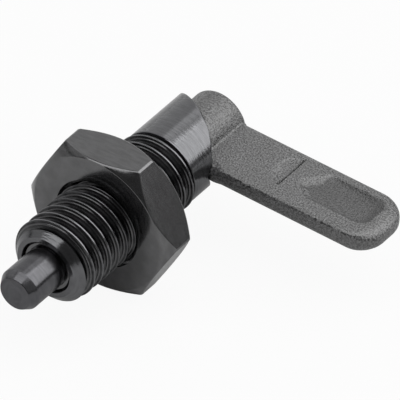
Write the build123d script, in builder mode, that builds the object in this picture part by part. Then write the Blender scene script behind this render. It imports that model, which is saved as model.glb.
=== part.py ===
from build123d import *
import os
from math import cos, radians, sin, tan

os.makedirs("parts", exist_ok=True)

# Cam-action indexing plunger. Millimetres.
# Y is the plunger axis: the pin points to -Y, the lever is at the +Y end.
# X is the way the lever points at rest, Z is up.
# Y = 0 is the housing's front end face.

# threaded housing
thread_d = 10.0
thread_end = 20.6
front_face_d = 7.5
front_chamfer = (thread_d - front_face_d) / 2
sleeve_d = 9.7

# right-hand thread, cut as one helical groove, with a narrow undercut behind it
thread_pitch = 1.5
thread_depth = 0.92
crest_flat = 0.19
flank_run = thread_depth * tan(radians(30))
crest_y = 0.68
undercut_w = 0.25
undercut_d = 8.6
thread_stop = thread_end - undercut_w
groove_proud = 0.05
groove_start = crest_y + thread_pitch / 4 - 2 * thread_pitch
groove_turns = 17
blank_spare = 4.0
chamfer_spare = 0.1

# bores through the housing
chamber_d = 6.3
web_rear = 20.2
web_t = 2.0
web_front = web_rear - web_t

# pin and rod
pin_d = 5.0
pin_out = 5.5
tip_l = 1.0
tip_d = 3.9
rod_d = 3.0
collar_t = 1.1
fit_gap = 0.03
rod_gap = 0.06
relief_w = 0.6
relief_depth = 0.4

# guide bush pressed into the front of the chamber
bush_recess = 0.3
bush_l = 3.1
bush_chamfer = 0.25
collar_gap = 0.2
collar_front = bush_recess + bush_l + collar_gap
collar_rear = collar_front + collar_t
chamber_gap = 0.15
collar_d = chamber_d - 2 * chamber_gap

# thrust washer and spring
washer_t = 0.4
washer_gap = 0.02
washer_bore_gap = 0.1
washer_front = collar_rear + washer_gap
washer_rear = washer_front + washer_t
spring_wire = 0.5
spring_mean_d = (rod_d + chamber_d) / 2
spring_turns = 8

# lever: hub and flat bar, one casting
hub_d = 7.2
hub_gap = 0.05
hub_rise = 0.4
hub_front = web_rear + hub_rise
hub_rear = 32.07
hub_edge = 0.45
bar_t = 2.8
bar_w = 8.62
bar_rear = hub_rear
bar_front = bar_rear - bar_w
bar_reach = 25.7
bar_edge = 1.2
bar_corner_rear = 3.7
bar_corner_front = 3.1
hub_cap = 3.6
rod_end = hub_rear - hub_cap
rod_end_gap = 0.1
rod_seat_gap = 0.01

# thumb recess and grip groove, the same on both broad faces
recess_offset = 4.7
recess_y = bar_front + recess_offset
recess_w = 5.0
recess_x0 = 12.2
recess_inset = 2.1
recess_x1 = bar_reach - recess_inset
recess_deep = 0.7
recess_run = 0.9
recess_corner = 1.3

# cross pin through hub and rod
cross_d = 1.5
cross_inset = 3.6
cross_y = hub_front + cross_inset
cross_sunk = 0.1
cross_l = hub_d - 2 * cross_sunk

# cam on the sleeve's rear rim: lowest under the lever, rising the same on both sides
# the rim also falls a little towards the bore, to clear the lever's rounded front edge
lift = 8.5
cam_gap = 0.35
cam_low = bar_front - cam_gap
cam_fall = 0.16
cam_land_angle = 177.0
sleeve_bore_d = hub_d + 2 * hub_gap
cam_top = cam_low - cam_fall * (sleeve_d - sleeve_bore_d) / 2 + lift * cam_land_angle / 180
cut_margin = 1.0

# lock nut
nut_af = 17.0
nut_t = 5.0
nut_front = 9.25
nut_turn = 3.7
nut_bore_d = thread_d + 0.1
nut_sink_d = 10.9
nut_face_d = 16.7
nut_slope = 0.9


def on_plane_y(y):
    """Plane across the plunger axis at this Y, facing the pin, with its own y up."""
    return Plane(origin=(0, y, 0), x_dir=(1, 0, 0), z_dir=(0, -1, 0))


def cam_edge(radius):
    """Helix of the rim on the lever's upper side, at this radius."""
    low = cam_low - cam_fall * (sleeve_d / 2 - radius)
    turn = Helix(
        pitch=2 * lift,
        height=lift * cam_land_angle / 180,
        radius=radius,
        lefthand=True,
    )
    return Pos(0, low, 0) * (Rot(-90, 0, 0) * turn)


with BuildPart() as thread_groove:
    with BuildLine() as groove_line:
        Helix(
            pitch=thread_pitch,
            height=groove_turns * thread_pitch,
            radius=thread_d / 2 - thread_depth,
            center=(0, groove_start, 0),
            direction=(0, 1, 0),
        )
    with BuildSketch(Plane(origin=(0, groove_start, 0), x_dir=(0, 0, 1), z_dir=(-1, 0, 0))):
        root_half = (thread_pitch - crest_flat) / 2 - flank_run
        mouth_half = (thread_pitch - crest_flat) / 2 + groove_proud * tan(radians(30))
        with BuildLine():
            Polyline(
                (thread_d / 2 - thread_depth, -root_half),
                (thread_d / 2 - thread_depth, root_half),
                (thread_d / 2 + groove_proud, mouth_half),
                (thread_d / 2 + groove_proud, -mouth_half),
                close=True,
            )
        make_face()
    sweep(path=groove_line.line, is_frenet=True)

with BuildPart() as housing:
    with BuildSketch(on_plane_y(-blank_spare)):
        Circle(thread_d / 2)
    extrude(amount=-(thread_end + 2 * blank_spare))
    add(thread_groove.part, mode=Mode.SUBTRACT)
    split(bisect_by=on_plane_y(thread_stop), keep=Keep.TOP)
    split(bisect_by=on_plane_y(0), keep=Keep.BOTTOM)
    with BuildSketch(Plane.XY):
        with BuildLine():
            Polyline(
                (front_face_d / 2 - chamfer_spare, -chamfer_spare),
                (thread_d / 2 + chamfer_spare, front_chamfer + chamfer_spare),
                (thread_d / 2 + chamfer_spare, -chamfer_spare),
                close=True,
            )
        make_face()
    revolve(axis=Axis.Y, mode=Mode.SUBTRACT)
    with BuildSketch(Plane.XY):
        with BuildLine():
            Polyline(
                (0, thread_stop),
                (undercut_d / 2, thread_stop),
                (undercut_d / 2, thread_end),
                (sleeve_d / 2, thread_end),
                (sleeve_d / 2, cam_top),
                (0, cam_top),
                close=True,
            )
        make_face()
    revolve(axis=Axis.Y)
    with BuildSketch(Plane.XY):
        with BuildLine():
            Polyline(
                (0, 0),
                (chamber_d / 2, 0),
                (chamber_d / 2, web_front),
                (rod_d / 2 + rod_gap, web_front),
                (rod_d / 2 + rod_gap, web_rear),
                (sleeve_bore_d / 2, web_rear),
                (sleeve_bore_d / 2, cam_top),
                (0, cam_top),
                close=True,
            )
        make_face()
    revolve(axis=Axis.Y, mode=Mode.SUBTRACT)
    rim = Face.make_surface_from_curves(
        cam_edge(hub_d / 2 - cut_margin), cam_edge(sleeve_d / 2 + cut_margin)
    )
    extrude(to_extrude=rim, amount=2 * lift, dir=(0, 1, 0), mode=Mode.SUBTRACT)
    extrude(
        to_extrude=rim.mirror(Plane.XY), amount=2 * lift, dir=(0, 1, 0), mode=Mode.SUBTRACT
    )
housing.part.label = "housing"

with BuildPart() as guide_bush:
    with BuildSketch(Plane.XY):
        with BuildLine():
            Polyline(
                (pin_d / 2 + fit_gap, bush_recess),
                (chamber_d / 2 - bush_chamfer, bush_recess),
                (chamber_d / 2, bush_recess + bush_chamfer),
                (chamber_d / 2, bush_recess + bush_l),
                (pin_d / 2 + fit_gap, bush_recess + bush_l),
                close=True,
            )
        make_face()
    revolve(axis=Axis.Y)
guide_bush.part.label = "guide_bush"

with BuildPart() as plunger_pin:
    with BuildSketch(Plane.XY):
        with BuildLine():
            Polyline(
                (0, -pin_out),
                (tip_d / 2, -pin_out),
                (pin_d / 2, tip_l - pin_out),
                (pin_d / 2, 0),
                (pin_d / 2 - relief_depth, 0),
                (pin_d / 2 - relief_depth, relief_w),
                (pin_d / 2, relief_w),
                (pin_d / 2, collar_front),
                (collar_d / 2, collar_front),
                (collar_d / 2, collar_rear),
                (rod_d / 2, collar_rear),
                (rod_d / 2, rod_end),
                (0, rod_end),
                close=True,
            )
        make_face()
    revolve(axis=Axis.Y)
    with Locations((0, cross_y, 0)):
        Cylinder(radius=cross_d / 2, height=2 * rod_d, mode=Mode.SUBTRACT)
plunger_pin.part.label = "plunger_pin"

with BuildPart() as thrust_washer:
    with BuildSketch(on_plane_y(washer_rear)):
        Circle(collar_d / 2)
        Circle(rod_d / 2 + washer_bore_gap, mode=Mode.SUBTRACT)
    extrude(amount=washer_t)
thrust_washer.part.label = "thrust_washer"

spring_l = web_front - washer_rear - spring_wire
with BuildPart() as spring:
    with BuildLine():
        coil = Helix(
            pitch=spring_l / spring_turns, height=spring_l, radius=spring_mean_d / 2
        )
    with BuildSketch(Plane(origin=coil @ 0, z_dir=coil % 0)):
        RegularPolygon(radius=spring_wire / 2, side_count=8)
    sweep(path=coil, is_frenet=True)
spring_part = Pos(0, washer_rear + spring_wire / 2, 0) * (Rot(-90, 0, 0) * spring.part)
spring_part.label = "spring"

# the hollow for the thumb: its floor slopes down towards the lever's free end
with BuildPart() as thumb_recess:
    with BuildSketch(Plane.XZ.offset(-recess_y)):
        with BuildLine():
            Polyline(
                (recess_x0, bar_t / 2),
                (recess_x1 - recess_run, bar_t / 2 - recess_deep),
                (recess_x1, bar_t / 2),
                (recess_x1, bar_t),
                (recess_x0, bar_t),
                close=True,
            )
        make_face()
    extrude(amount=recess_w / 2, both=True)
    far = thumb_recess.edges().filter_by(Axis.Z).group_by(Axis.X)[-1]
    fillet(far, radius=recess_corner)

with BuildPart() as lever:
    with BuildSketch(Plane.XY.offset(-bar_t / 2)) as flat:
        with Locations((bar_reach / 2, (bar_front + bar_rear) / 2)):
            Rectangle(bar_reach, bar_w)
        fillet(flat.vertices().group_by(Axis.X)[-1].sort_by(Axis.Y)[0], bar_corner_front)
        fillet(flat.vertices().group_by(Axis.Y)[-1].sort_by(Axis.X)[-1], bar_corner_rear)
    extrude(amount=bar_t)
    broad = lever.faces().filter_by(Axis.Z)
    fillet(broad.edges().filter_by(lambda e: e.bounding_box().max.X > bar_edge), radius=bar_edge)
    add(thumb_recess.part, mode=Mode.SUBTRACT)
    add(mirror(thumb_recess.part, about=Plane.XY, mode=Mode.PRIVATE), mode=Mode.SUBTRACT)
    with BuildSketch(Plane.XY) as hub_half:
        with BuildLine():
            Polyline(
                (0, hub_front),
                (hub_d / 2, hub_front),
                (hub_d / 2, hub_rear),
                (0, hub_rear),
                close=True,
            )
        make_face()
        fillet(hub_half.vertices().group_by(Axis.X)[-1].sort_by(Axis.Y)[-1], radius=hub_edge)
    revolve(axis=Axis.Y)
    with BuildSketch(on_plane_y(rod_end + rod_end_gap)):
        Circle(rod_d / 2 + rod_seat_gap)
    extrude(amount=rod_end + rod_end_gap - hub_front, mode=Mode.SUBTRACT)
    with Locations((0, cross_y, 0)):
        Cylinder(radius=cross_d / 2, height=2 * hub_d, mode=Mode.SUBTRACT)
lever.part.label = "lever"

with BuildPart() as cross_pin:
    with Locations((0, cross_y, 0)):
        Cylinder(radius=cross_d / 2, height=cross_l)
cross_pin.part.label = "cross_pin"

with BuildPart() as lock_nut:
    with BuildSketch(on_plane_y(nut_front + nut_t)):
        RegularPolygon(radius=nut_af / 2, side_count=6, major_radius=False, rotation=nut_turn)
    extrude(amount=nut_t)
    with BuildSketch(Plane.XY):
        with BuildLine():
            Polyline(
                (0, nut_front),
                (nut_face_d / 2, nut_front),
                (nut_face_d / 2 + nut_t / 2 / nut_slope, nut_front + nut_t / 2),
                (nut_face_d / 2, nut_front + nut_t),
                (0, nut_front + nut_t),
                close=True,
            )
        make_face()
    revolve(axis=Axis.Y, mode=Mode.INTERSECT)
    with BuildSketch(Plane.XY):
        with BuildLine():
            Polyline(
                (0, nut_front),
                (nut_sink_d / 2, nut_front),
                (nut_bore_d / 2, nut_front + (nut_sink_d - nut_bore_d) / 2),
                (nut_bore_d / 2, nut_front + nut_t - (nut_sink_d - nut_bore_d) / 2),
                (nut_sink_d / 2, nut_front + nut_t),
                (0, nut_front + nut_t),
                close=True,
            )
        make_face()
    revolve(axis=Axis.Y, mode=Mode.SUBTRACT)
lock_nut.part.label = "lock_nut"

export_step(housing.part, "parts/housing.step")
export_step(guide_bush.part, "parts/guide_bush.step")
export_step(plunger_pin.part, "parts/plunger_pin.step")
export_step(thrust_washer.part, "parts/thrust_washer.step")
export_step(spring_part, "parts/spring.step")
export_step(lever.part, "parts/lever.step")
export_step(cross_pin.part, "parts/cross_pin.step")
export_step(lock_nut.part, "parts/lock_nut.step")
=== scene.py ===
"""Looks of the cam-action indexing plunger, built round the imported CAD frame.

Y is the plunger's axis, with the pin at -Y and the lever at +Y. X is the way the lever points and
Z is up. Sizes below are in millimetres and are turned into metres as each mesh is made. Depths and
scales in the materials, and the lamps' distances, are in metres.
"""
import math

import bmesh
import bpy
import numpy as np
from mathutils import Matrix, Vector


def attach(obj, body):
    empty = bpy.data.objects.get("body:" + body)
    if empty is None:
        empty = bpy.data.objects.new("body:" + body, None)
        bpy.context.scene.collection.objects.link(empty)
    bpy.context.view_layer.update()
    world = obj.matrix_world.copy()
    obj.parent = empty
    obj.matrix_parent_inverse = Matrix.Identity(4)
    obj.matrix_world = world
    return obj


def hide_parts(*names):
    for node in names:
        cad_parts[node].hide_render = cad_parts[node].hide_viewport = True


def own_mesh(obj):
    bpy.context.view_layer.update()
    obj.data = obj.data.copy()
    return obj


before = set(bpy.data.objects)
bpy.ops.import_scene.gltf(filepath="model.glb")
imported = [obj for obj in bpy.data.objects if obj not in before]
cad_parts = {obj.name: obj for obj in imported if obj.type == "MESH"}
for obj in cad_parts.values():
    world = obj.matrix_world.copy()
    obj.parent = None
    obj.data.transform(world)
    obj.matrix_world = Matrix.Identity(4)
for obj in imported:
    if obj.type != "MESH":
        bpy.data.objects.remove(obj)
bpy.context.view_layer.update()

MM = 0.001

# Edges sharper than these stay sharp in the shading, in degrees
TURNED_SHARP_DEG = 32.0
HOUSING_SHARP_DEG = 30
SPRING_SHARP_DEG = 60
NUT_SHARP_DEG = 25
LEVER_SHARP_DEG = 30

# ---------------------------------------------------------------- driving sizes, mm
# Thread. Its form has points at CREST_EDGE (in from the crest's edge, down), FLANK_DEPTHS (down the
# flank) and ROOT_HOLLOW (share of the root's half width, height above the root). Points within
# FACE_SKIN of an end face count as on it, and within CREST_SKIN of the crests' cylinder and chamfer as
# on a crest; a face is the crest's if CREST_SHARE of its points are.
THREAD_R = 5.0
THREAD_ROOT_R = 4.08
THREAD_PITCH = 1.5
THREAD_FLANK_DEG = 30.0
THREAD_STOP = 20.35
UNDERCUT_R = 4.3
CREST_FLAT = 0.19
CREST_PHASE = 0.68
CREST_EDGE = ((0.018, 0.0), (0.003, 0.006))
FLANK_DEPTHS = (0.022, 0.06, 0.3, 0.6, 0.84)
ROOT_HOLLOW = ((0.0, 0.02), (0.5, 0.002))
FRONT_FACE_R = 3.75
FRONT_CHAMFER = 1.25
FACE_SKIN = 0.02
CREST_SKIN = 0.03
CREST_SHARE = 0.75
SPARE_TURNS_FRONT = 2
SPARE_TURNS_REAR = 3

# Sleeve. SLEEVE_FRONT_EDGE has points (behind its front, inside its radius) and SLEEVE_SHARES says
# where rings lie between that edge and the rim. The rounding of the rim's outer edge has its middle
# SLEEVE_EDGE_MIDDLE of its radius inside both faces.
SLEEVE_FRONT = 20.6
SLEEVE_R = 4.85
SLEEVE_BORE_R = 3.65
SLEEVE_EDGE = 0.08
SLEEVE_EDGE_MIDDLE = 0.3
SLEEVE_FRONT_EDGE = ((0.0, 0.07), (0.02, 0.02), (0.07, 0.0))
SLEEVE_SHARES = (0.02, 0.2, 0.4, 0.6, 0.8, 0.95)
WEB_FRONT = 18.2
WEB_REAR = 20.2
CHAMBER_R = 3.15
CHAMBER_EDGE = 0.06
ROD_HOLE_R = 1.56

# Cam rim. LIFT is its rise over half a turn, and so how far the pin is drawn in; CAM_FALL is how
# much lower the rim lies for each millimetre inwards.
LIFT = 8.5
CAM_LOW = 23.10
CAM_LAND_ANGLE = 177.0
CAM_FALL = 0.16

# Bush, pin and rod
BUSH_FRONT = 0.3
BUSH_REAR = 3.4
BUSH_R = CHAMBER_R - 0.02
BUSH_BORE_R = 2.53
BUSH_FACE_R = 2.88
BUSH_CHAMFER = 0.25
BUSH_REAR_EDGE = 0.02
PIN_R = 2.5
PIN_OUT = 5.5
PIN_CYLINDER_OUT = 4.5
PIN_EDGE = 0.16
TIP_R = 1.94
RELIEF_R = 2.1
RELIEF_W = 0.6
RELIEF_EDGE = 0.04
COLLAR_FRONT = 3.6
COLLAR_REAR = 4.7
COLLAR_R = 3.0
COLLAR_EDGE = 0.05
ROD_R = 1.5
ROD_REAR = 28.47
ROD_EDGE = 0.1
TIGHT_EDGE = 0.03

# Spring
SPRING_R = 2.325
SPRING_WIRE_R = 0.25
SPRING_FRONT = 5.12
SPRING_REAR = 18.2
SPRING_TURNS = 8

# Lock nut. NUT_FACE_RINGS has (radius, depth below the end face) from the bore out to the flat face's
# edge, and NUT_EDGE_ARC has (inset, depth) in shares of NUT_EDGE, the rounding where the chamfer meets
# the flats. Further rings lie NUT_SUPPORT beside that rounding and keep its shading narrow.
NUT_AF = 17.0
NUT_FRONT = 9.25
NUT_T = 5.0
NUT_TURN_DEG = 3.7
NUT_BORE_R = 5.05
NUT_SINK_R = 5.45
NUT_FACE_R = 8.35
NUT_SLOPE = 0.9
NUT_EDGE = 0.09
NUT_SUPPORT = 0.03
NUT_FACE_RINGS = (
    (NUT_BORE_R, 0.5),
    (NUT_SINK_R - 0.04, 0.03),
    (NUT_SINK_R, 0.0),
    (NUT_FACE_R - 0.05, 0.0),
    (NUT_FACE_R + 0.04, 0.03),
)
NUT_EDGE_ARC = ((1.0, 0.0), (0.3, 0.4), (0.0, 1.2))

# Lever's hub, and the hole in it for the rod
HUB_R = 3.6
HUB_FRONT = 20.6
HUB_REAR = 32.07
HUB_EDGE = 0.45
HUB_FRONT_EDGE = 0.15
HUB_HOLE_R = ROD_R + 0.01
HUB_HOLE_END = ROD_REAR + 0.1
HUB_HOLE_EDGE = 0.1
HUB_SEGMENTS = 144

# Lever's bar. Its front edge has its own radius from BAR_FRONT_EDGE_X on, where it is past the rim.
BAR_FRONT = 23.45
BAR_REAR = 32.07
BAR_MIDDLE_Y = (BAR_FRONT + BAR_REAR) / 2
BAR_HALF_T = 1.4
BAR_REACH = 25.7
BAR_MIDDLE_END_X = BAR_REACH - 4.31
BAR_EDGE = 1.2
BAR_FRONT_TOP_EDGE = 0.45
BAR_FRONT_UNDER_EDGE = 1.5
BAR_FRONT_EDGE_X = 5.0
BAR_FRONT_EDGE_BLEND = 1.2
BAR_END_EDGE = 2.0
BAR_END_DROP = 1.2
BAR_CORNER_REAR = 3.7
BAR_CORNER_FRONT = 3.1

# Fillet between bar and hub; its foot lies ROOT_SKIN inside the hub's radius, and goes on inwards at
# a slope, so that it crosses the hub's skin cleanly
ROOT_FILLET = 0.38
ROOT_SKIN = 0.012
ROOT_LOWEST_Z = 0.15
ROOT_INNER_SLOPE = 0.6

# Stations along the bar, close together where the face changes: in the hub, then (from, to, step)
HUB_STATIONS = (0.0, 1.5, 2.4, 2.8)
BAR_STATIONS = ((3.0, 4.2, 0.06), (4.2, 10.0, 0.3), (10.0, 12.0, 0.1), (12.0, 12.5, 0.035))
RECESS_STATIONS_X = 12.5
RECESS_STATION_STEP = 0.09
FRONT_CORNER_STEPS = 24
REAR_CORNER_STEPS = 28
END_STEPS = 13
EDGE_STEPS = 9
FACE_STEPS = 44

# Thumb recess in the bar's faces: a wedge-shaped entry from its apex (x, y off the middle), then a
# straight trough that ends in a bowl. SOFT values are widths over which two slopes blend.
RECESS_Y = 28.1
RECESS_HALF_W = 2.5
RECESS_APEX = (13.45, -0.45)
RECESS_REAR_X = 15.85
RECESS_FRONT_X = 15.6
RECESS_END_X = 23.75
RECESS_CORNER = 1.5
RECESS_SHALLOW = 0.4
RECESS_DEEP = 0.7
RECESS_SIDE_SLOPE = 1.0
RECESS_REAR_SLOPE = 0.9
RECESS_REAR_BLEND = 1.2
RECESS_ENTRY_SLOPE = 0.32
RECESS_FRONT_SLOPE = 0.5
RECESS_ENTRY_SOFT = 0.1
RECESS_FRONT_SOFT = 0.2
RECESS_SIDE_SOFT = 0.3
RECESS_END_BOWL = 1.8
RECESS_END_START = 2.2
RECESS_END_BLEND = 1.5

# Shallow scoop that leads to a crease across the bar, between the hub and the recess
SCOOP_START_X = 10.25
SCOOP_HALF_W = 2.65
SCOOP_SIDE_SLOPE = 0.8
SCOOP_RUN = 1.4
SCOOP_DEPTH = 0.2
SCOOP_END = 0.05
CREASE_X = 12.25
CREASE_DEPTH = 0.36
CREASE_HALF_W = 0.2
CREASE_HALF_L = 2.7
CREASE_FADE = 0.3

# Where the hollows are marked for the casting's painted shade and duller skin, as depths below the
# bar's face. The mark starts higher up the recess's end and rear walls; HOLLOW_WALL_Y is where the
# rear wall's part begins, behind the recess's middle line.
HOLLOW_DENT = 0.05
HOLLOW_CREASE_DENT = 0.1
HOLLOW_SKIN = 0.1
HOLLOW_START = 0.25
HOLLOW_WALL_START = 0.06
HOLLOW_WALL_Y = 1.0
HOLLOW_BLEND = 0.14
HOLLOW_CREASE_BLEND = 0.25

# Floor disc, just under the nut's lowest corner
FLOOR_Z = -8.82
FLOOR_R = 6000.0
FLOOR_SIDES = 96

# ---------------------------------------------------------------- looks
# Noise features to the metre
MOTTLING_PER_M = 900
FINE_PER_M = 3800
ROUND_PER_M = 600
TURNING_PER_M = 9000
GRAIN_PER_M = 5000
COARSE_PER_M = 1900
CLOUDS_PER_M = 500
THREAD_LINES_PER_PITCH = 9.5
# Parts of the noise's 0 to 1 that are spread over a full range
WIDE = (0.3, 0.7)
MIDDLE = (0.35, 0.65)
NARROW = (0.38, 0.62)

# Oxidised steel
MOTTLING_SHARE = 0.3
LINE_SHARE = 0.7
FINE_DEPTH = 0.0000004
STEEL_METALLIC = 0.96
BRUSHED_ROTATION = 0.25

# Casting: (least, most) over the noise, or (on its faces, in its hollows)
CAST_DARK = (0.052, 0.052, 0.052)
CAST_LIGHT = (0.064, 0.064, 0.065)
CAST_SPECKLE = (0.0, 2.1)
CAST_ROUGHNESS = (0.28, 0.42)
# Painted shade: the colour is scaled down in the thumb recess and crease, where shade falls
CAST_PAINTED_SHADE = (1.0, 0.47)
CAST_HOLLOW_DULLER = (1.0, 1.6)
CAST_GRAIN_DEPTH = (0.00009, 0.00017)
CAST_COARSE_DEPTH = 0.00002
CAST_IOR = 1.6
CAST_SPECULAR = 1.0

# Floor: its own colour, and the share of plain white that the camera and mirrors see in its place
FLOOR_COLOUR = (0.58, 0.58, 0.58, 1)
FLOOR_WHITE_SEEN = 0.93
FLOOR_WHITE_MIRRORED = 0.05

# Surroundings: white below a soft horizon and faint above it, by the Z of the direction
HORIZON = (0.022, 0.03)
WORLD_STRENGTH = (1.0, 0.08)

# Lamps: name, azimuth and elevation of the axis in degrees, then the left, right, low and high sides
# as tangents off the axis, distance in metres and radiance
SOFTBOXES = (
    ("key_softbox", 60, 55, -0.7, 0.3, -0.85, 0.85, 0.3, 2.25),
    ("top_softbox", -115, 58, -0.45, 0.42, -0.38, 0.5, 0.3, 1.6),
    ("left_softbox", 138, 32, -0.75, 0.9, -0.62, 0.45, 0.32, 0.64),
    ("right_softbox", -15, 32, -0.35, 0.45, -0.4, 0.6, 0.32, 0.24),
    ("front_softbox", -158, 22, -0.42, 0.42, -0.26, 0.7, 0.32, 0.4),
    ("key_fringe", 98, 47, -0.26, 0.26, -0.35, 0.3, 0.29, 0.6),
    ("low_fringe", 38, 11, -0.5, 0.4, -0.07, 0.09, 0.29, 0.13),
)

# Camera, fitted to the photograph: unit vectors across, down and into the picture, and its place in mm
CAMERA_RIGHT = (0.8091370, 0.5860829, 0.0424755)
CAMERA_DOWN = (0.4072145, -0.5071435, -0.7595932)
CAMERA_FORWARD = (-0.4236434, 0.6319116, -0.6490100)
CAMERA_EYE = (431.276, -614.340, 650.923)
CAMERA_SENSOR = 36.0
CAMERA_LENS = 834.86
CAMERA_CLIP = (0.05, 20.0)


# ---------------------------------------------------------------- mesh helpers
# An arc takes up this much of the sides next to it at most, which leaves room for the next one
ARC_REACH = 0.49


def new_piece(name, verts, faces, material, body, sharp_deg=TURNED_SHARP_DEG):
    """A mesh object in metres from millimetre points, shaded smooth with sharp edges kept."""
    mesh = bpy.data.meshes.new(name)
    points = (np.asarray(verts, float) * MM).tolist()
    mesh.from_pydata(points, [], [tuple(int(i) for i in f) for f in faces])
    obj = bpy.data.objects.new(name, mesh)
    bpy.context.scene.collection.objects.link(obj)
    clean_mesh(mesh)
    shade(mesh, sharp_deg)
    mesh.materials.append(material)
    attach(obj, body)
    return obj


def clean_mesh(mesh, merge=1e-7):
    """Merges points that coincide and turns every face outwards."""
    bm = bmesh.new()
    bm.from_mesh(mesh)
    bmesh.ops.remove_doubles(bm, verts=bm.verts, dist=merge)
    bmesh.ops.dissolve_degenerate(bm, edges=bm.edges, dist=merge)
    bmesh.ops.recalc_face_normals(bm, faces=bm.faces)
    bm.to_mesh(mesh)
    bm.free()


def shade(mesh, sharp_deg):
    """Smooth shading except across edges sharper than the angle."""
    mesh.polygons.foreach_set("use_smooth", [True] * len(mesh.polygons))
    mesh.set_sharp_from_angle(angle=math.radians(sharp_deg))
    mesh.update()


def grid_faces(rows, columns, close_rows=False):
    """Quads of a grid of points stored row by row, with each row closed into a ring."""
    faces = []
    for i in range(rows if close_rows else rows - 1):
        for j in range(columns):
            a = i * columns + j
            b = i * columns + (j + 1) % columns
            c = ((i + 1) % rows) * columns + (j + 1) % columns
            d = ((i + 1) % rows) * columns + j
            faces.append((a, b, c, d))
    return faces


def rounded(corners, steps=4):
    """A polyline in (y, r) through corners (y, r, edge radius), with an arc at each inner corner."""
    points = [corner[:2] for corner in corners]
    out = [points[0]]
    for i in range(1, len(points) - 1):
        p = Vector(points[i])
        to_last = Vector(points[i - 1]) - p
        to_next = Vector(points[i + 1]) - p
        radius = corners[i][2]
        if radius <= 0:
            out.append(tuple(p))
            continue
        u = to_last.normalized()
        v = to_next.normalized()
        half = math.acos(max(-1.0, min(1.0, u.dot(v)))) / 2
        longest = ARC_REACH * min(to_last.length, to_next.length)
        reach = min(radius / math.tan(half), longest)
        for k in range(steps + 1):
            t = k / steps
            q = (1 - t) ** 2 * (p + u * reach) + 2 * t * (1 - t) * p + t * t * (p + v * reach)
            out.append(tuple(q))
    out.append(points[-1])
    return out


def lathe(profile, segments, closed=False):
    """Points and faces of a (y, r) profile turned round the Y axis. A closed profile is a ring."""
    angles = np.linspace(0, 2 * math.pi, segments, endpoint=False)
    verts = []
    for y, r in profile:
        for a in angles:
            verts.append((r * math.cos(a), y, r * math.sin(a)))
    return verts, grid_faces(len(profile), segments, close_rows=closed)


def turned_piece(name, profile, material, body, segments=128, closed=False):
    """A turned piece; the profile runs from axis to axis, or round a ring when closed."""
    verts, faces = lathe(profile, segments, closed)
    return new_piece(name, verts, faces, material, body)


# ---------------------------------------------------------------- material helpers
def new_material(name):
    """A new node material, its node tree and its Principled shader."""
    material = bpy.data.materials.new(name)
    material.use_nodes = True
    tree = material.node_tree
    shader = tree.nodes["Principled BSDF"]
    return material, tree, shader


def put(tree, socket, value):
    """Links another node's output to a socket, or sets the socket to a number or colour."""
    if isinstance(value, bpy.types.NodeSocket):
        tree.links.new(value, socket)
    else:
        socket.default_value = value


def add(tree, kind, **sockets):
    """A node of that kind, with input values or links given by socket name."""
    node = tree.nodes.new(kind)
    for key, value in sockets.items():
        put(tree, node.inputs[key.replace("_", " ")], value)
    return node


def coordinate_xyz(tree, kind):
    """The X, Y and Z of the texture coordinates of one kind."""
    coords = tree.nodes.new("ShaderNodeTexCoord")
    split = add(tree, "ShaderNodeSeparateXYZ", Vector=coords.outputs[kind])
    return split.outputs["X"], split.outputs["Y"], split.outputs["Z"]


def noise(tree, per_metre, detail=3.0, roughness=0.55):
    """Noise with so many features to the metre along X, Y and Z of the object."""
    coords = tree.nodes.new("ShaderNodeTexCoord")
    stretched = add(tree, "ShaderNodeMapping", Vector=coords.outputs["Object"], Scale=per_metre)
    return add(
        tree,
        "ShaderNodeTexNoise",
        Vector=stretched.outputs["Vector"],
        Scale=1.0,
        Detail=detail,
        Roughness=roughness,
    ).outputs["Fac"]


def even_noise(tree, per_metre, detail=3.0, roughness=0.55):
    """Noise with so many features to the metre every way."""
    return noise(tree, (per_metre, per_metre, per_metre), detail, roughness)


def spread(tree, value, low, high, out_low, out_high):
    """A value taken from one range to another, clamped."""
    node = tree.nodes.new("ShaderNodeMapRange")
    node.inputs["From Min"].default_value = low
    node.inputs["From Max"].default_value = high
    node.inputs["To Min"].default_value = out_low
    node.inputs["To Max"].default_value = out_high
    tree.links.new(value, node.inputs["Value"])
    return node.outputs["Result"]


def tint(tree, factor, dark, light):
    """A colour between two, by a factor."""
    node = tree.nodes.new("ShaderNodeMix")
    node.data_type = "RGBA"
    node.inputs["A"].default_value = (*dark, 1)
    node.inputs["B"].default_value = (*light, 1)
    tree.links.new(factor, node.inputs["Factor"])
    return node.outputs["Result"]


def scaled_colour(tree, factor, colour, low, high):
    """A colour multiplied by low to high, as the factor goes from 0 to 1."""
    node = tree.nodes.new("ShaderNodeVectorMath")
    node.operation = "SCALE"
    tree.links.new(colour, node.inputs[0])
    tree.links.new(spread(tree, factor, 0, 1, low, high), node.inputs["Scale"])
    return node.outputs[0]


def bump(tree, height, depth, normal=None):
    """A bump of the given full depth, on the plain surface or on top of another bump."""
    node = add(tree, "ShaderNodeBump", Strength=1.0, Distance=depth, Height=height)
    if normal is not None:
        tree.links.new(normal, node.inputs["Normal"])
    return node.outputs["Normal"]


def maths(tree, operation, first, second=None):
    """One Math node on sockets or numbers."""
    node = tree.nodes.new("ShaderNodeMath")
    node.operation = operation
    put(tree, node.inputs[0], first)
    if second is not None:
        put(tree, node.inputs[1], second)
    return node.outputs[0]


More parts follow.
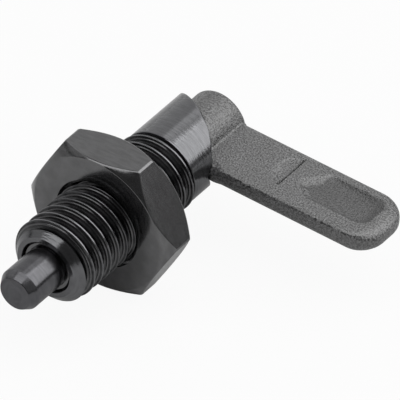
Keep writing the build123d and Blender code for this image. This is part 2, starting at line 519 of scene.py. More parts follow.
def ring_noise(tree, per_metre):
    """Noise in fine rings round the Y axis, along a turned surface and out across its end faces."""
    x, y, z = coordinate_xyz(tree, "Object")
    squares = maths(tree, "ADD", maths(tree, "MULTIPLY", x, x), maths(tree, "MULTIPLY", z, z))
    along = maths(tree, "ADD", y, maths(tree, "SQRT", squares))
    place = add(
        tree,
        "ShaderNodeCombineXYZ",
        X=maths(tree, "MULTIPLY", x, ROUND_PER_M),
        Y=maths(tree, "MULTIPLY", along, per_metre),
        Z=maths(tree, "MULTIPLY", z, ROUND_PER_M),
    )
    rings = add(
        tree, "ShaderNodeTexNoise", Vector=place.outputs[0], Scale=1.0, Detail=2.0, Roughness=0.6
    )
    return rings.outputs["Fac"]


def line_noise(tree, position, per_unit, detail):
    """Noise that changes along one coordinate only."""
    node = tree.nodes.new("ShaderNodeTexNoise")
    node.noise_dimensions = "1D"
    node.inputs["Scale"].default_value = per_unit
    node.inputs["Detail"].default_value = detail
    tree.links.new(position, node.inputs["W"])
    return node.outputs["Fac"]


def thread_phase(tree):
    """Place across the thread's pitch, 0 to 1 from one crest to the next, the same in every turn."""
    x, y, z = coordinate_xyz(tree, "Object")
    share = maths(tree, "MULTIPLY", maths(tree, "ARCTAN2", z, x), 1 / (2 * math.pi))
    along = maths(tree, "MULTIPLY", y, 1 / (THREAD_PITCH * MM))
    shifted = maths(tree, "SUBTRACT", maths(tree, "ADD", along, share), CREST_PHASE / THREAD_PITCH)
    return maths(tree, "FRACT", shifted)


def turning_lines(tree, per_metre, thread, brushed):
    """Noise of the turning lines: along the thread, in rings on sides and end faces when brushed, or
    else round the sides only."""
    if thread:
        return line_noise(tree, thread_phase(tree), THREAD_LINES_PER_PITCH, detail=0.5)
    if brushed > 0:
        return ring_noise(tree, per_metre)
    return noise(tree, (ROUND_PER_M, per_metre, ROUND_PER_M), detail=2, roughness=0.6)


def stretch_highlights(tree, shader, amount):
    """Draws highlights out across turning lines that run round the Y axis."""
    tangent = tree.nodes.new("ShaderNodeTangent")
    tangent.direction_type = "RADIAL"
    tangent.axis = "Y"
    tree.links.new(tangent.outputs[0], shader.inputs["Tangent"])
    shader.inputs["Anisotropic"].default_value = amount
    shader.inputs["Anisotropic Rotation"].default_value = BRUSHED_ROTATION


# ---------------------------------------------------------------- materials
def turned_metal(
    name, dark, light, rough, line_depth, per_metre=TURNING_PER_M, thread=False, brushed=0.0
):
    """Oxidised metal with fine turning lines, round the Y axis or along the thread's helix."""
    material, tree, shader = new_material(name)
    mottling = even_noise(tree, MOTTLING_PER_M, detail=4)
    fine = even_noise(tree, FINE_PER_M, detail=2)
    lines = turning_lines(tree, per_metre, thread, brushed)
    share = maths(
        tree,
        "ADD",
        maths(tree, "MULTIPLY", mottling, MOTTLING_SHARE),
        maths(tree, "MULTIPLY", lines, LINE_SHARE),
    )
    colour = tint(tree, spread(tree, share, *NARROW, 0, 1), dark, light)
    tree.links.new(colour, shader.inputs["Base Color"])
    tree.links.new(spread(tree, fine, *WIDE, *rough), shader.inputs["Roughness"])
    surface = bump(tree, lines, line_depth)
    surface = bump(tree, fine, FINE_DEPTH, surface)
    tree.links.new(surface, shader.inputs["Normal"])
    shader.inputs["Metallic"].default_value = STEEL_METALLIC
    if brushed > 0:
        stretch_highlights(tree, shader, brushed)
    return material


def cast_metal(name):
    """Fine-grained dark grey casting with a satin skin; painted shade darkens its hollows, which are
    also duller.
    """
    material, tree, shader = new_material(name)
    grain = even_noise(tree, GRAIN_PER_M, detail=1, roughness=0.6)
    coarse = even_noise(tree, COARSE_PER_M, detail=2)
    clouds = even_noise(tree, CLOUDS_PER_M, detail=3)
    # The mark from mark_hollows carries painted shade into the colour, and a duller, grainier skin
    attribute = tree.nodes.new("ShaderNodeAttribute")
    attribute.attribute_name = "painted_shade_and_skin"
    painted_shade_and_skin = attribute.outputs["Fac"]
    base = tint(tree, spread(tree, clouds, *MIDDLE, 0, 1), CAST_DARK, CAST_LIGHT)
    speckled = scaled_colour(tree, spread(tree, grain, *NARROW, 0, 1), base, *CAST_SPECKLE)
    # Painted shade: the colour is darkened in the recess and crease, where shade falls
    shaded = scaled_colour(tree, painted_shade_and_skin, speckled, *CAST_PAINTED_SHADE)
    tree.links.new(shaded, shader.inputs["Base Color"])
    skin = spread(tree, grain, *WIDE, *CAST_ROUGHNESS)
    duller = spread(tree, painted_shade_and_skin, 0, 1, *CAST_HOLLOW_DULLER)
    tree.links.new(maths(tree, "MULTIPLY", skin, duller), shader.inputs["Roughness"])
    surface = bump(tree, grain, spread(tree, painted_shade_and_skin, 0, 1, *CAST_GRAIN_DEPTH))
    surface = bump(tree, coarse, CAST_COARSE_DEPTH, surface)
    tree.links.new(surface, shader.inputs["Normal"])
    shader.inputs["Metallic"].default_value = 0.0
    shader.inputs["IOR"].default_value = CAST_IOR
    shader.inputs["Specular IOR Level"].default_value = CAST_SPECULAR
    return material


def floor_material():
    """Pale floor that the camera sees as nearly plain white, with a faint shadow of the object."""
    material, tree, shader = new_material("floor_white")
    tree.nodes.remove(shader)
    path = tree.nodes.new("ShaderNodeLightPath")
    mirrored = maths(
        tree, "MAXIMUM", path.outputs["Is Glossy Ray"], path.outputs["Is Transmission Ray"]
    )
    share = maths(
        tree,
        "MAXIMUM",
        maths(tree, "MULTIPLY", path.outputs["Is Camera Ray"], FLOOR_WHITE_SEEN),
        maths(tree, "MULTIPLY", mirrored, FLOOR_WHITE_MIRRORED),
    )
    diffuse = add(tree, "ShaderNodeBsdfDiffuse", Color=FLOOR_COLOUR)
    white = add(tree, "ShaderNodeEmission", Color=(1, 1, 1, 1), Strength=1.0)
    mix = add(tree, "ShaderNodeMixShader", Fac=share)
    tree.links.new(diffuse.outputs[0], mix.inputs[1])
    tree.links.new(white.outputs[0], mix.inputs[2])
    tree.links.new(mix.outputs[0], tree.nodes["Material Output"].inputs["Surface"])
    return material


THREAD_STEEL = turned_metal(
    "black_oxide_thread",
    dark=(0.014, 0.014, 0.015),
    light=(0.125, 0.125, 0.128),
    rough=(0.17, 0.24),
    line_depth=0.00012,
    thread=True,
)
SLEEVE_STEEL = turned_metal(
    "black_oxide_sleeve",
    dark=(0.132, 0.133, 0.138),
    light=(0.164, 0.165, 0.172),
    rough=(0.14, 0.2),
    line_depth=0.000028,
    per_metre=4300,
)
NUT_STEEL = turned_metal(
    "black_oxide_nut",
    dark=(0.138, 0.138, 0.14),
    light=(0.172, 0.172, 0.175),
    rough=(0.14, 0.19),
    line_depth=0.000002,
    per_metre=3000,
)
BUSH_STEEL = turned_metal(
    "black_oxide_bush",
    dark=(0.142, 0.142, 0.144),
    light=(0.164, 0.164, 0.167),
    rough=(0.14, 0.2),
    line_depth=0.0000015,
)
PIN_STEEL = turned_metal(
    "black_ground",
    dark=(0.094, 0.094, 0.1),
    light=(0.119, 0.119, 0.126),
    rough=(0.2, 0.25),
    line_depth=0.0000015,
    per_metre=3400,
    brushed=0.7,
)
SPRING_STEEL = turned_metal(
    "spring_steel",
    dark=(0.42, 0.42, 0.42),
    light=(0.5, 0.5, 0.5),
    rough=(0.25, 0.35),
    line_depth=0.000001,
)
CAST = cast_metal("cast_grey")


# ---------------------------------------------------------------- housing
def crest_profile():
    """(axial offset, radius) of the thread over one pitch, from one crest's middle to the next."""
    slope = math.tan(math.radians(THREAD_FLANK_DEG))
    crest_end = CREST_FLAT / 2
    root_start = crest_end + (THREAD_R - THREAD_ROOT_R) * slope
    root_half = THREAD_PITCH / 2 - root_start
    right = [(0.0, THREAD_R)]
    right += [(crest_end - back, THREAD_R - down) for back, down in CREST_EDGE]
    right += [(crest_end + down * slope, THREAD_R - down) for down in FLANK_DEPTHS]
    right += [(root_start + root_half * share, THREAD_ROOT_R + up) for share, up in ROOT_HOLLOW]
    right.append((THREAD_PITCH / 2, THREAD_ROOT_R))
    left = [(THREAD_PITCH - y, r) for y, r in reversed(right[1:-1])]
    return right + left


def chamfer_limit(y):
    """Largest radius that the front chamfer leaves."""
    return min(THREAD_R, FRONT_FACE_R + (THREAD_R - FRONT_FACE_R) / FRONT_CHAMFER * y)


def signed(angle):
    """An angle from 0 to a full turn as one between minus and plus half a turn."""
    return angle if angle <= math.pi else angle - 2 * math.pi


def rim_height(angle):
    """Y of the cam rim at the sleeve's outer radius, at an angle from +X towards +Z in radians."""
    t = min(abs(math.degrees(angle)), CAM_LAND_ANGLE)
    return CAM_LOW + LIFT / 180.0 * t


def rim_top():
    """Y of the rim's flat land."""
    return CAM_LOW - CAM_FALL * (SLEEVE_R - SLEEVE_BORE_R) + LIFT / 180.0 * CAM_LAND_ANGLE


def rim_y(angle, radius):
    """Y of the cam rim at an angle and radius."""
    y = rim_height(angle) - CAM_FALL * (SLEEVE_R - radius)
    return min(y, rim_top())


def thread_column(angle, base_y, base_r):
    """(y, r) of the thread's points at one angle, trimmed by the front chamfer and the undercut."""
    y = base_y + CREST_PHASE - THREAD_PITCH * angle / (2 * math.pi)
    r = base_r.copy()
    over = r - np.array([chamfer_limit(v) for v in y])
    for i in range(len(y) - 1):
        if over[i] * over[i + 1] < 0 and y[i] > FACE_SKIN:
            t = over[i] / (over[i] - over[i + 1])
            k = i if t < 0.5 else i + 1
            y[k] = y[i] + (y[i + 1] - y[i]) * t
            r[k] = r[i] + (r[i + 1] - r[i]) * t
            over[k] = 0.0
    r = np.minimum(r, [chamfer_limit(v) for v in y])
    r[y < 0] = FRONT_FACE_R
    y[y < 0] = 0.0
    past = int(np.argmax(y > THREAD_STOP))
    t = (THREAD_STOP - y[past - 1]) / (y[past] - y[past - 1])
    r[past] = r[past - 1] + (r[past] - r[past - 1]) * t
    r[past + 1:] = UNDERCUT_R
    y[past:] = THREAD_STOP
    return y, r


def thread_mesh(angles):
    """Points and faces of the helical thread, whose rows run on from one turn to the next.

    Spare turns in front of the housing and behind the thread are trimmed away column by column.
    """
    profile = crest_profile()
    per_pitch = len(profile)
    turns = range(-SPARE_TURNS_FRONT, int(SLEEVE_FRONT / THREAD_PITCH) + SPARE_TURNS_REAR)
    base_y = np.array([n * THREAD_PITCH + y for n in turns for y, r in profile])
    base_r = np.array([r for n in turns for y, r in profile])
    rows = len(base_y)
    columns = len(angles)
    verts = []
    for a in angles:
        for y, r in zip(*thread_column(a, base_y, base_r)):
            verts.append((r * math.cos(a), y, r * math.sin(a)))
    faces = []
    for j in range(columns - 1):
        for i in range(rows - 1):
            k = j * rows + i
            faces.append((k, k + rows, k + rows + 1, k + 1))
    last = (columns - 1) * rows
    for i in range(per_pitch, rows - 1):
        k = i - per_pitch
        faces.append((last + i, k, k + 1, last + i + 1))
    return verts, faces


def shell_rings(angles):
    """Rings of (r, y) from the undercut over the sleeve and the cam rim, and back through the bores."""
    count = len(angles)
    outer = [rim_y(signed(a), SLEEVE_R) for a in angles]
    e = SLEEVE_EDGE
    rings = [[(UNDERCUT_R, THREAD_STOP)] * count, [(UNDERCUT_R, SLEEVE_FRONT)] * count]
    for behind, inside in SLEEVE_FRONT_EDGE:
        rings.append([(SLEEVE_R - inside, SLEEVE_FRONT + behind)] * count)
    first = SLEEVE_FRONT + SLEEVE_FRONT_EDGE[-1][0]
    for t in SLEEVE_SHARES:
        rings.append([(SLEEVE_R, first + (y - first) * t) for y in outer])
    rings.append([(SLEEVE_R, y - e) for y in outer])
    rings.append([(SLEEVE_R - SLEEVE_EDGE_MIDDLE * e, y - SLEEVE_EDGE_MIDDLE * e) for y in outer])
    for r in (SLEEVE_R - e, (SLEEVE_R + SLEEVE_BORE_R) / 2, SLEEVE_BORE_R + e):
        rings.append([(r, rim_y(signed(a), r)) for a in angles])
    rings.append([(SLEEVE_BORE_R, rim_y(signed(a), SLEEVE_BORE_R) - e) for a in angles])
    for y, r in (
        (WEB_REAR, SLEEVE_BORE_R),
        (WEB_REAR, ROD_HOLE_R),
        (WEB_FRONT, ROD_HOLE_R),
        (WEB_FRONT, CHAMBER_R),
        (CHAMBER_EDGE, CHAMBER_R),
        (0.0, CHAMBER_R + CHAMBER_EDGE),
        (0.0, FRONT_FACE_R),
    ):
        rings.append([(r, y)] * count)
    return rings


def housing_mesh(segments=224):
    """The housing: threaded front, sleeve with cam rim, and the bores inside, as one closed skin."""
    angles = np.linspace(0, 2 * math.pi, segments, endpoint=False)
    verts, faces = thread_mesh(angles)
    rings = shell_rings(angles)
    start = len(verts)
    for ring in rings:
        for (r, y), a in zip(ring, angles):
            verts.append((r * math.cos(a), y, r * math.sin(a)))
    for f in grid_faces(len(rings), segments):
        faces.append(tuple(start + i for i in f))
    return verts, faces


def split_front_quads(mesh):
    """Cuts the quads of the front chamfer into triangles, so that none bends over its edge."""
    bm = bmesh.new()
    bm.from_mesh(mesh)
    limit = (FRONT_CHAMFER + THREAD_PITCH) * MM
    front = [f for f in bm.faces if len(f.verts) > 3 and f.calc_center_median().y < limit]
    bmesh.ops.triangulate(bm, faces=front)
    bm.to_mesh(mesh)
    bm.free()


def mark_smooth_faces(mesh):
    """Gives the second material to the crests, front chamfer, front face, bores and sleeve."""
    points = [(math.hypot(v.co.x, v.co.z) / MM, v.co.y / MM) for v in mesh.vertices]
    at_crest = [r > chamfer_limit(y) - CREST_SKIN for r, y in points]
    for face in mesh.polygons:
        y = face.center.y / MM
        r = math.hypot(face.center.x, face.center.z) / MM
        on_crest = sum(at_crest[i] for i in face.vertices) >= CREST_SHARE * len(face.vertices)
        if on_crest or y > SLEEVE_FRONT - FACE_SKIN or r < FRONT_FACE_R:
            face.material_index = 1


verts, faces = housing_mesh()
housing = new_piece(
    "housing_turned", verts, faces, THREAD_STEEL, "housing", HOUSING_SHARP_DEG
)
split_front_quads(housing.data)
shade(housing.data, HOUSING_SHARP_DEG)
housing.data.materials.append(SLEEVE_STEEL)
mark_smooth_faces(housing.data)
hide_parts("housing")

# ---------------------------------------------------------------- bush, pin, spring
bush_profile = rounded(
    (
        (BUSH_FRONT, BUSH_BORE_R, 0),
        (BUSH_FRONT, BUSH_FACE_R, TIGHT_EDGE),
        (BUSH_FRONT + BUSH_CHAMFER, BUSH_R, TIGHT_EDGE),
        (BUSH_REAR, BUSH_R, BUSH_REAR_EDGE),
        (BUSH_REAR, BUSH_BORE_R, BUSH_REAR_EDGE),
        (BUSH_FRONT + BUSH_CHAMFER, BUSH_BORE_R, 0),
    )
)
bush = turned_piece("guide_bush_turned", bush_profile, BUSH_STEEL, "housing", closed=True)
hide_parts("guide_bush")

pin_profile = rounded(
    (
        (-PIN_OUT, 0.0, 0),
        (-PIN_OUT, TIP_R, PIN_EDGE),
        (-PIN_CYLINDER_OUT, PIN_R, PIN_EDGE),
        (0.0, PIN_R, RELIEF_EDGE),
        (0.0, RELIEF_R, TIGHT_EDGE),
        (RELIEF_W, RELIEF_R, TIGHT_EDGE),
        (RELIEF_W, PIN_R, RELIEF_EDGE),
        (COLLAR_FRONT, PIN_R, TIGHT_EDGE),
        (COLLAR_FRONT, COLLAR_R, COLLAR_EDGE),
        (COLLAR_REAR, COLLAR_R, COLLAR_EDGE),
        (COLLAR_REAR, ROD_R, TIGHT_EDGE),
        (ROD_REAR, ROD_R, ROD_EDGE),
        (ROD_REAR, 0.0, 0),
    )
)
pin = turned_piece("plunger_pin_turned", pin_profile, PIN_STEEL, "plunger")
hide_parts("plunger_pin")


def spring_mesh(steps_per_turn=40, around=10):
    """A coil of round wire round the Y axis, with a flat cap on each end of the wire."""
    steps = SPRING_TURNS * steps_per_turn
    first = SPRING_FRONT + SPRING_WIRE_R
    last = SPRING_REAR - SPRING_WIRE_R
    verts = []
    for i in range(steps + 1):
        t = i / steps
        a = 2 * math.pi * SPRING_TURNS * t
        y = first + (last - first) * t
        for k in range(around):
            b = 2 * math.pi * k / around
            r = SPRING_R + SPRING_WIRE_R * math.cos(b)
            verts.append((r * math.cos(a), y + SPRING_WIRE_R * math.sin(b), r * math.sin(a)))
    faces = grid_faces(steps + 1, around)
    faces.append(tuple(range(around)))
    faces.append(tuple(reversed(range(steps * around, (steps + 1) * around))))
    return verts, faces


verts, faces = spring_mesh()
spring = new_piece(
    "spring_coil", verts, faces, SPRING_STEEL, "housing", SPRING_SHARP_DEG
)
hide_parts("spring")
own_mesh(spring)


# ---------------------------------------------------------------- lock nut
def hexagon(per_side=16, bevel=0.16, support=0.03):
    """Points (x, z) of the nut's outline, with a narrow flat across each corner."""
    half_side = NUT_AF / 2 * math.tan(math.radians(30))
    points = []
    for side in range(6):
        middle = math.radians(NUT_TURN_DEG + 60 * side + 30)
        end = half_side - bevel
        along = [-end] + list(np.linspace(-end + support, end - support, per_side)) + [end]
        for s in along:
            x = NUT_AF / 2 * math.cos(middle) - s * math.sin(middle)
            z = NUT_AF / 2 * math.sin(middle) + s * math.cos(middle)
            points.append((x, z))
    return points


def nut_half_rings(outline):
    """Rings of (x, z, depth below the end face) from the bore out to the middle of the flats."""
    edge = [(NUT_EDGE * inset, NUT_EDGE * extra) for inset, extra in NUT_EDGE_ARC]
    edge = (
        [(edge[0][0] + NUT_SUPPORT, edge[0][1])]
        + edge
        + [(edge[-1][0], edge[-1][1] + NUT_SUPPORT)]
    )
    corners = [(x, z, math.hypot(x, z)) for x, z in outline]
    rings = []
    for radius, depth in NUT_FACE_RINGS:
        rings.append([(x * radius / full, z * radius / full, depth) for x, z, full in corners])
    for inset, extra in edge:
        ring = []
        for x, z, full in corners:
            radius = full - inset
            depth = NUT_SLOPE * max(radius - NUT_FACE_R, 0.0) + extra
            ring.append((x * radius / full, z * radius / full, depth))
        rings.append(ring)
    return rings


def nut_mesh():
    """The chamfered hexagon nut as rings round the axis, with its rear end like its front."""
    outline = hexagon()
    half = nut_half_rings(outline)
    rear = NUT_FRONT + NUT_T
    verts = [(x, NUT_FRONT + depth, z) for ring in half for x, z, depth in ring]
    verts += [(x, rear - depth, z) for ring in reversed(half) for x, z, depth in ring]
    return verts, grid_faces(2 * len(half), len(outline), close_rows=True)


verts, faces = nut_mesh()
nut = new_piece("lock_nut_hex", verts, faces, NUT_STEEL, "lock_nut", NUT_SHARP_DEG)
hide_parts("lock_nut")


# ---------------------------------------------------------------- lever
def smooth_step(t):
    """0 to 1 with no slope at either end, for t from 0 to 1."""
    t = np.clip(t, 0, 1)
    return t * t * (3 - 2 * t)


def soft_min(a, b, width):
    """The lesser of two heights, with the corner between them rounded."""
    h = np.clip(0.5 + 0.5 * (b - a) / width, 0, 1)
    return b + (a - b) * h - width * h * (1 - h)


def beyond_line(x, side, start, end):
    """Distance past the line from start to end, on its left."""
    dx = end[0] - start[0]
    dy = end[1] - start[1]
    return (dx * (side - start[1]) - dy * (x - start[0])) / math.hypot(dx, dy)


def recess_dent(x, side):
    """Depth of the thumb recess at x, with side the distance behind the recess's middle line."""
    run = np.clip((x - RECESS_FRONT_X) / (RECESS_END_X - RECESS_FRONT_X), 0, 1)
    floor = RECESS_SHALLOW + (RECESS_DEEP - RECESS_SHALLOW) * run
    rear_entry = beyond_line(x, side, (RECESS_REAR_X, RECESS_HALF_W), RECESS_APEX)
    front_entry = beyond_line(x, side, RECESS_APEX, (RECESS_FRONT_X, -RECESS_HALF_W))
    qx = x - (RECESS_END_X - RECESS_CORNER)
    qy = np.abs(side) - (RECESS_HALF_W - RECESS_CORNER)
    outside = np.hypot(np.maximum(qx, 0), np.maximum(qy, 0))
    edge = RECESS_CORNER - np.minimum(np.maximum(qx, qy), 0) - outside
    bowl = floor * (1 - (1 - np.clip(edge / RECESS_END_BOWL, 0, 1)) ** 2)
    near_end = smooth_step((x - RECESS_END_X + RECESS_END_START) / RECESS_END_BLEND)
    to_rear = smooth_step(side / RECESS_REAR_BLEND)
    wall_slope = RECESS_SIDE_SLOPE + (RECESS_REAR_SLOPE - RECESS_SIDE_SLOPE) * to_rear
    depth = soft_min(floor, rear_entry * RECESS_ENTRY_SLOPE, RECESS_ENTRY_SOFT)
    depth = soft_min(depth, front_entry * RECESS_FRONT_SLOPE, RECESS_FRONT_SOFT)
    depth = soft_min(depth, edge * wall_slope, RECESS_SIDE_SOFT)
    return np.maximum(depth + (np.minimum(depth, bowl) - depth) * near_end, 0)


def scoop_dent(x, off):
    """Depth of the scoop, off the middle line by so much; it widens as an ellipse to the crease."""
    reach = (x - SCOOP_START_X) / (CREASE_X - SCOOP_START_X)
    half = SCOOP_HALF_W * np.sqrt(np.clip(1 - (1 - np.clip(reach, 0, 1)) ** 2, 0, 1))
    inward = np.minimum(x - SCOOP_START_X, (half - off) * SCOOP_SIDE_SLOPE)
    depth = SCOOP_DEPTH * np.sin(np.clip(inward / SCOOP_RUN, 0, 1) * math.pi / 2)
    return depth * np.clip((CREASE_X - x) / SCOOP_END, 0, 1)


def crease_dent(x, off):
    """Depth of the straight V-shaped crease across the bar."""
    depth = CREASE_DEPTH * np.clip(1 - np.abs(x - CREASE_X) / CREASE_HALF_W, 0, 1)
    return depth * smooth_step((CREASE_HALF_L - off) / CREASE_FADE)


def lever_dent(x, y):
    """Depth of the thumb recess, the scoop and the crease below the bar's face."""
    side = y - RECESS_Y
    off = np.abs(side)
    return np.maximum(np.maximum(recess_dent(x, side), scoop_dent(x, off)), crease_dent(x, off))


def bar_xs(last):
    """Stations along the bar's straight edges, close together where the face changes."""
    xs = list(HUB_STATIONS)
    for start, end, step in (*BAR_STATIONS, (RECESS_STATIONS_X, last, RECESS_STATION_STEP)):
        xs += list(np.arange(start, end, step))
    return xs


def corner_stations(centre_x, centre_y, radius, start_angle, steps):
    """Stations round one quarter-circle corner of the bar's outline."""
    stations = []
    for k in range(steps + 1):
        a = start_angle + math.pi / 2 * k / steps
        px = centre_x + radius * math.cos(a)
        py = centre_y + radius * math.sin(a)
        stations.append((px, py, -math.cos(a), -math.sin(a), BAR_MIDDLE_END_X, BAR_MIDDLE_Y))
    return stations


def bar_outline():
    """Stations round the bar's outline: a point, its inward normal and its point on the middle line."""
    x_rear = BAR_REACH - BAR_CORNER_REAR
    x_front = BAR_REACH - BAR_CORNER_FRONT
    y_rear = BAR_REAR - BAR_CORNER_REAR
    y_front = BAR_FRONT + BAR_CORNER_FRONT
    stations = []
    for x in bar_xs(x_front):
        stations.append((x, BAR_FRONT, 0.0, 1.0, min(x, BAR_MIDDLE_END_X), BAR_MIDDLE_Y))
    stations += corner_stations(x_front, y_front, BAR_CORNER_FRONT, -math.pi / 2, FRONT_CORNER_STEPS)
    for y in np.linspace(y_front, y_rear, END_STEPS + 1)[1:-1]:
        stations.append((BAR_REACH, y, -1.0, 0.0, BAR_MIDDLE_END_X, BAR_MIDDLE_Y))
    stations += corner_stations(x_rear, y_rear, BAR_CORNER_REAR, 0.0, REAR_CORNER_STEPS)
    for x in reversed(bar_xs(x_rear)):
        stations.append((x, BAR_REAR, 0.0, -1.0, min(x, BAR_MIDDLE_END_X), BAR_MIDDLE_Y))
    return stations


def root_rise(x, z):
    """Height z of the bar's face, raised by the fillet where it meets the round hub."""
    rho = ROOT_FILLET
    hub = HUB_R - ROOT_SKIN
    out = z.copy()
    centre = np.sqrt(np.maximum((hub + rho) ** 2 - (z + rho) ** 2, 0))
    touch = hub * centre / (hub + rho)
    near = (x < centre) & (x >= touch) & (z > ROOT_LOWEST_Z)
    out[near] = (z + rho - np.sqrt(np.maximum(rho ** 2 - (x - centre) ** 2, 0)))[near]
    z_touch = hub * (z + rho) / (hub + rho)
    inside = (x < touch) & (z > ROOT_LOWEST_Z)
    out[inside] = (z_touch - (touch - x) * ROOT_INNER_SLOPE)[inside]
    return out


def mark_hollows(mesh):
    """Stores 1 deep in the thumb recess and the crease and 0 elsewhere, for the painted shade and
    duller skin.
    """
    points = np.zeros(len(mesh.vertices) * 3)
    mesh.vertices.foreach_get("co", points)
    points = points.reshape(-1, 3) / MM
    x = points[:, 0]
    depth = BAR_HALF_T - np.abs(points[:, 2])
    dent = lever_dent(x, points[:, 1])
    on_face = depth < dent + HOLLOW_SKIN
    recess = (x > RECESS_APEX[0]) & (dent > HOLLOW_DENT) & on_face
    crease = (np.abs(x - CREASE_X) < CREASE_HALF_W) & (dent > HOLLOW_CREASE_DENT) & on_face
    rear_wall = (points[:, 1] - RECESS_Y > HOLLOW_WALL_Y) & (x > RECESS_REAR_X)
    at_wall = (x > RECESS_END_X - RECESS_END_BOWL) | rear_wall
    start = np.where(at_wall, HOLLOW_WALL_START, HOLLOW_START)
    share = smooth_step((depth - start) / HOLLOW_BLEND) * recess
    share = share + smooth_step(depth / HOLLOW_CREASE_BLEND) * crease
    # This mark darkens the casting's colour there as painted shade
    mesh.attributes.new("painted_shade_and_skin", "FLOAT", "POINT").data.foreach_set("value", share)


def bar_rings():
    """Rings inwards from the bar's edge: inset and rise as shares of the edge, share of the way in."""
    rings = []
    for k in range(EDGE_STEPS + 1):
        a = math.pi / 2 * k / EDGE_STEPS
        rings.append((1 - math.cos(a), math.sin(a), 0.0))
    for k in range(1, FACE_STEPS + 1):
        rings.append((1.0, 1.0, k / FACE_STEPS))
    return rings


def bar_face(stations, front_edge):
    """Points of one broad face and its rounded edge; the front edge has its own radius past the rim."""
    rows = []
    for inset_share, rise_share, share in bar_rings():
        row = []
        for px, py, nx, ny, sx, sy in stations:
            past_rim = smooth_step((px - BAR_FRONT_EDGE_X) / BAR_FRONT_EDGE_BLEND)
            tight = float(past_rim) * max(ny, 0.0)
            radius = BAR_EDGE + (front_edge - BAR_EDGE) * tight
            at_end = max(-nx, 0.0) ** 2
            inset = inset_share * (radius + (BAR_END_EDGE - radius) * at_end)
            drop = radius + (max(BAR_END_DROP, radius) - radius) * at_end
            x = px + nx * inset
            y = py + ny * inset
            z = BAR_HALF_T - drop + drop * rise_share
            row.append((x + (sx - x) * share, y + (sy - y) * share, z))
        rows.append(row)
    x, y, z = np.moveaxis(np.array(rows), 2, 0)
    z = root_rise(x.ravel(), z.ravel()).reshape(x.shape) - lever_dent(x, y)
    return x, y, z


def bar_mesh():
    """The flat bar: rounded edges, both broad faces with the recess, closed inside the hub."""
    stations = bar_outline()
    verts = []
    for sign, edge in ((1, BAR_FRONT_TOP_EDGE), (-1, BAR_FRONT_UNDER_EDGE)):
        x, y, z = bar_face(stations, edge)
        rows, count = z.shape
        for i in range(rows):
            for j in range(count):
                verts.append((x[i, j], y[i, j], sign * z[i, j]))
    lower = rows * count
    faces = []
    for i in range(rows - 1):
        for j in range(count - 1):
            a = i * count + j
            faces.append((a, a + 1, a + 1 + count, a + count))
            b = lower + a
            faces.append((b, b + count, b + 1 + count, b + 1))
    for j in range(count - 1):
        faces.append((j, lower + j, lower + j + 1, j + 1))
    for j in (0, count - 1):
        upper_edge = [i * count + j for i in range(rows)]
        lower_edge = [lower + i * count + j for i in reversed(range(rows))]
        faces.append(tuple(upper_edge + lower_edge))
    return verts, faces


def hub_profile():
    """The hub with its rod hole, from the hole's end round to the rear face's middle."""
    return rounded(
        (
            (HUB_HOLE_END, 0.0, 0),
            (HUB_HOLE_END, HUB_HOLE_R, 0),
            (HUB_FRONT, HUB_HOLE_R, HUB_HOLE_EDGE),
            (HUB_FRONT, HUB_R, HUB_FRONT_EDGE),
            (HUB_REAR, HUB_R, HUB_EDGE),
            (HUB_REAR, 0.0, 0),
        ),
        steps=6,
    )


def join_solids(target, other):
    """The union of two closed meshes, left in the first."""
    modifier = target.modifiers.new("union", "BOOLEAN")
    modifier.operation = "UNION"
    modifier.solver = "EXACT"
    modifier.object = other
    graph = bpy.context.evaluated_depsgraph_get()
    joined = bpy.data.meshes.new_from_object(target.evaluated_get(graph))
    target.modifiers.clear()
    old = target.data
    target.data = joined
    bpy.data.meshes.remove(old)
    bpy.data.objects.remove(other)


verts, faces = lathe(hub_profile(), HUB_SEGMENTS)
lever = new_piece("lever_cast", verts, faces, CAST, "plunger", LEVER_SHARP_DEG)
verts, faces = bar_mesh()
bar = new_piece("lever_bar", verts, faces, CAST, "plunger", LEVER_SHARP_DEG)
join_solids(lever, bar)
clean_mesh(lever.data)
shade(lever.data, LEVER_SHARP_DEG)
mark_hollows(lever.data)
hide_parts("lever")

# ---------------------------------------------------------------- hidden CAD nodes
for node in ("thrust_washer", "cross_pin"):
    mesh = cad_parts[node].data
    mesh.materials.clear()
    mesh.materials.append(SPRING_STEEL)

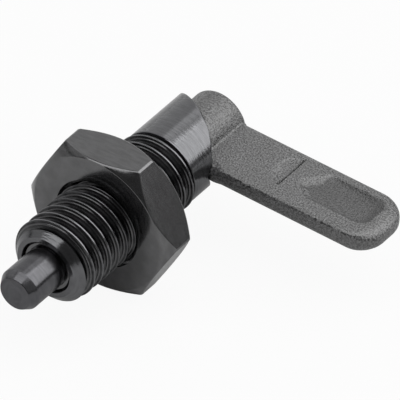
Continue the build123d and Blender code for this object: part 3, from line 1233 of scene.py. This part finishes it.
# ---------------------------------------------------------------- floor, light, camera
floor_mesh = bpy.data.meshes.new("floor")
floor_angles = np.linspace(0, 2 * math.pi, FLOOR_SIDES, endpoint=False)
ring = [(FLOOR_R * math.cos(a) * MM, FLOOR_R * math.sin(a) * MM, FLOOR_Z * MM) for a in floor_angles]
floor_mesh.from_pydata(ring, [], [tuple(range(FLOOR_SIDES))])
floor = bpy.data.objects.new("floor", floor_mesh)
bpy.context.scene.collection.objects.link(floor)
floor_mesh.materials.append(floor_material())


def placed(right, up, back, place):
    """The matrix that puts an object's X, Y and Z along three unit vectors, at a place in metres."""
    rows = [(right[i], up[i], back[i], place[i]) for i in range(3)]
    return Matrix(rows + [(0, 0, 0, 1)])


def softbox(name, azimuth, elevation, left, right, low, high, distance, radiance):
    """A rectangular lamp facing the object; its sides are tangents of angles off its axis."""
    az = math.radians(azimuth)
    el = math.radians(elevation)
    axis = Vector((math.cos(el) * math.cos(az), math.cos(el) * math.sin(az), math.sin(el)))
    side = Vector((-math.sin(az), math.cos(az), 0))
    up = axis.cross(side)
    centre = (axis + side * (left + right) / 2 + up * (low + high) / 2) * distance
    data = bpy.data.lights.new(name, "AREA")
    data.shape = "RECTANGLE"
    data.size = (right - left) * distance
    data.size_y = (high - low) * distance
    data.energy = radiance * math.pi * data.size * data.size_y
    lamp = bpy.data.objects.new(name, data)
    lamp.matrix_world = placed(side, up, axis, centre)
    lamp.visible_camera = False
    bpy.context.scene.collection.objects.link(lamp)


for row in SOFTBOXES:
    softbox(*row)

world = bpy.data.worlds.new("studio")
bpy.context.scene.world = world
world.use_nodes = True
background = world.node_tree.nodes["Background"]
background.inputs["Color"].default_value = (1, 1, 1, 1)
x, y, z = coordinate_xyz(world.node_tree, "Generated")
strength = spread(world.node_tree, z, *HORIZON, *WORLD_STRENGTH)
world.node_tree.links.new(strength, background.inputs["Strength"])

camera_data = bpy.data.cameras.new("camera")
camera_data.sensor_width = CAMERA_SENSOR
camera_data.lens = CAMERA_LENS
camera_data.clip_start = CAMERA_CLIP[0]
camera_data.clip_end = CAMERA_CLIP[1]
camera = bpy.data.objects.new("camera", camera_data)
bpy.context.scene.collection.objects.link(camera)
camera.matrix_world = placed(
    CAMERA_RIGHT,
    [-c for c in CAMERA_DOWN],
    [-c for c in CAMERA_FORWARD],
    [c * MM for c in CAMERA_EYE],
)
bpy.context.scene.camera = camera
bpy.context.scene.view_settings.view_transform = "Standard"
